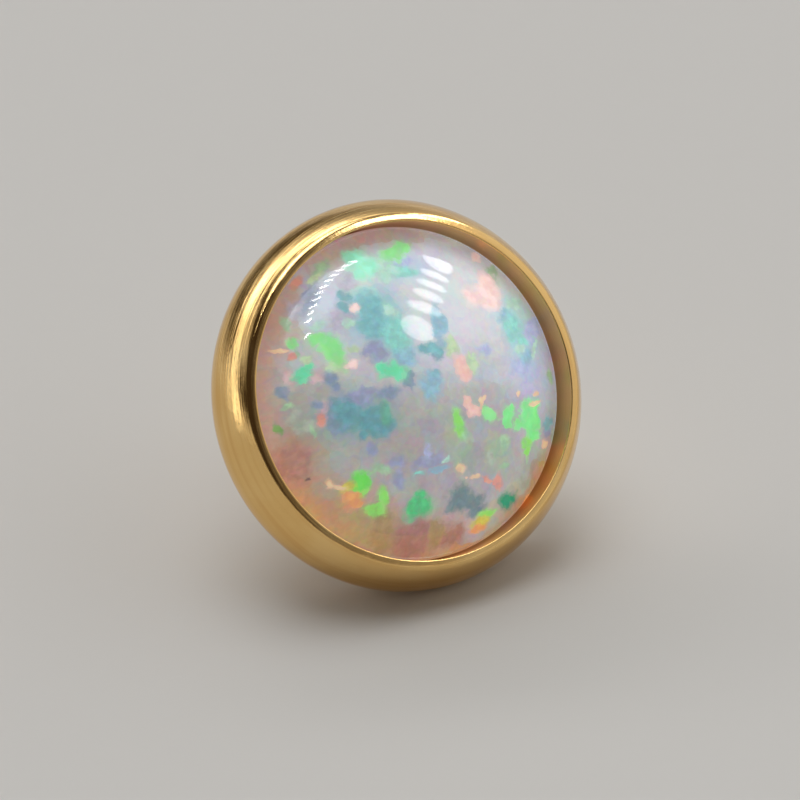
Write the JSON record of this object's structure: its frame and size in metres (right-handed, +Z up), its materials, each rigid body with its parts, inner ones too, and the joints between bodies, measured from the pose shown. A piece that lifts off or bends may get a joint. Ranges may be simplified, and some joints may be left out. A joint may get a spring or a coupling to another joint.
{
  "type": "dermal anchor top",
  "caption": "Round gold bezel cup holding a domed white opal, with a short post at the back that screws into a dermal anchor.",
  "frame": {"origin": "middle of the part's outline on the surface that it lies on, resting on the end of its post and the bulge of its cup", "axes": "+Z up, +X across the cup, the stone's face leans back and looks towards -Y and 36 degrees above the horizon, the post points back and down"},
  "size_m": [0.0046, 0.0042, 0.004],
  "materials": {
    "opal": "polished",
    "cup_gold": "polished",
    "post_gold": "satin"
  },
  "bodies": {
    "root": {"opal_cabochon": "opal", "bezel_cup": "cup_gold", "threaded_post": "post_gold"}
  },
  "joints": []
}
